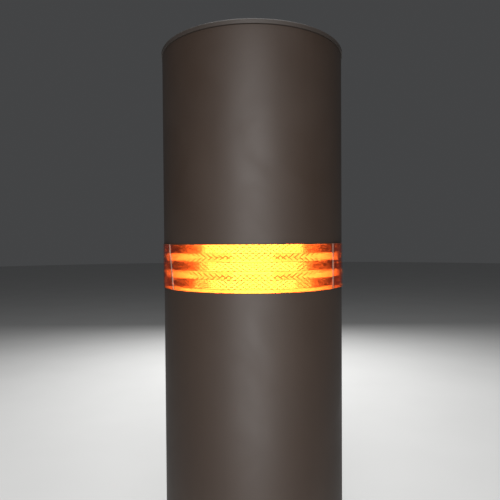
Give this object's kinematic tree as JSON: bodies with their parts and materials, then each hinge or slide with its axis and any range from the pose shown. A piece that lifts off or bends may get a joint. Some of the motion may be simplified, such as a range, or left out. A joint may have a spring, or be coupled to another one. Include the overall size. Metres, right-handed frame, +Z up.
{
  "type": "driveway snow marker",
  "caption": "Round capped marker tube with a lapped prismatic reflective band, held by clamp screws in a bolted-down socket base and lifted out after winter.",
  "frame": {"origin": "centre of the ground pad's underside, on the tube's axis", "axes": "+Z up along the tube, -Y towards the side that faces the driveway, +X to the right seen from there"},
  "size_m": [0.36, 0.3599, 0.9144],
  "materials": {
    "tube_plastic": "satin moulded",
    "cap_plastic": "fine moulded grain",
    "base_plastic": "fine moulded grain",
    "knob_plastic": "glass-filled nylon",
    "pad_rubber": "matte",
    "zinc_steel": "zinc plated",
    "insert_brass": "turned",
    "tape_film": "glossy prismatic",
    "tape_backing": "seal film",
    "tape_adhesive": "tacky acrylic"
  },
  "bodies": {
    "base": {"base_socket": "base_plastic", "ground_pad": "pad_rubber", "tube_seat": "pad_rubber", "anchor_ferrule_1": "zinc_steel", "anchor_ferrule_2": "zinc_steel", "anchor_ferrule_3": "zinc_steel", "clamp_insert_1": "insert_brass", "clamp_insert_2": "insert_brass", "clamp_insert_3": "insert_brass"},
    "post": {"post_tube": "tube_plastic", "front_band_adhesive": "tape_adhesive", "front_band_backing": "tape_backing", "front_band_film": "tape_film", "rear_band_adhesive": "tape_adhesive", "rear_band_backing": "tape_backing", "rear_band_film": "tape_film"},
    "cap": {"top_cap": "cap_plastic", "cap_o_ring": "pad_rubber"},
    "clamp_1_pad": {"clamp_pad_1": "pad_rubber"},
    "clamp_1_screw": {"clamp_stud_1": "zinc_steel", "clamp_knob_1": "knob_plastic"},
    "clamp_2_pad": {"clamp_pad_2": "pad_rubber"},
    "clamp_2_screw": {"clamp_stud_2": "zinc_steel", "clamp_knob_2": "knob_plastic"},
    "clamp_3_pad": {"clamp_pad_3": "pad_rubber"},
    "clamp_3_screw": {"clamp_stud_3": "zinc_steel", "clamp_knob_3": "knob_plastic"}
  },
  "joints": [
    {"name": "post_lift", "type": "slide", "parent": "base", "child": "post", "axis": [0, 0, 1], "range_m": [0, 0.102]},
    {"name": "cap_lift", "type": "slide", "parent": "post", "child": "cap", "axis": [0, 0, 1], "range_m": [0, 0.03]},
    {"name": "clamp_1_feed", "type": "slide", "parent": "base", "child": "clamp_1_pad", "axis": [0, 1, 0], "range_m": [0, 0.005]},
    {"name": "clamp_1_turn", "type": "hinge", "parent": "clamp_1_pad", "child": "clamp_1_screw", "pos_m": [0, 0.14, 0.075], "axis": [0, 1, 0], "range_deg": [0, 1440]},
    {"name": "clamp_2_feed", "type": "slide", "parent": "base", "child": "clamp_2_pad", "axis": [-0.866, -0.5, 0], "range_m": [0, 0.005]},
    {"name": "clamp_2_turn", "type": "hinge", "parent": "clamp_2_pad", "child": "clamp_2_screw", "pos_m": [-0.12124, -0.07, 0.075], "axis": [-0.866, -0.5, 0], "range_deg": [0, 1440]},
    {"name": "clamp_3_feed", "type": "slide", "parent": "base", "child": "clamp_3_pad", "axis": [0.866, -0.5, 0], "range_m": [0, 0.005]},
    {"name": "clamp_3_turn", "type": "hinge", "parent": "clamp_3_pad", "child": "clamp_3_screw", "pos_m": [0.12124, -0.07, 0.075], "axis": [0.866, -0.5, 0], "range_deg": [0, 1440]}
  ],
  "couplings": [
    {"joint": "clamp_1_feed", "follows": "clamp_1_turn", "m_per_rad": 0.00019894},
    {"joint": "clamp_2_feed", "follows": "clamp_2_turn", "m_per_rad": 0.00019894},
    {"joint": "clamp_3_feed", "follows": "clamp_3_turn", "m_per_rad": 0.00019894}
  ]
}
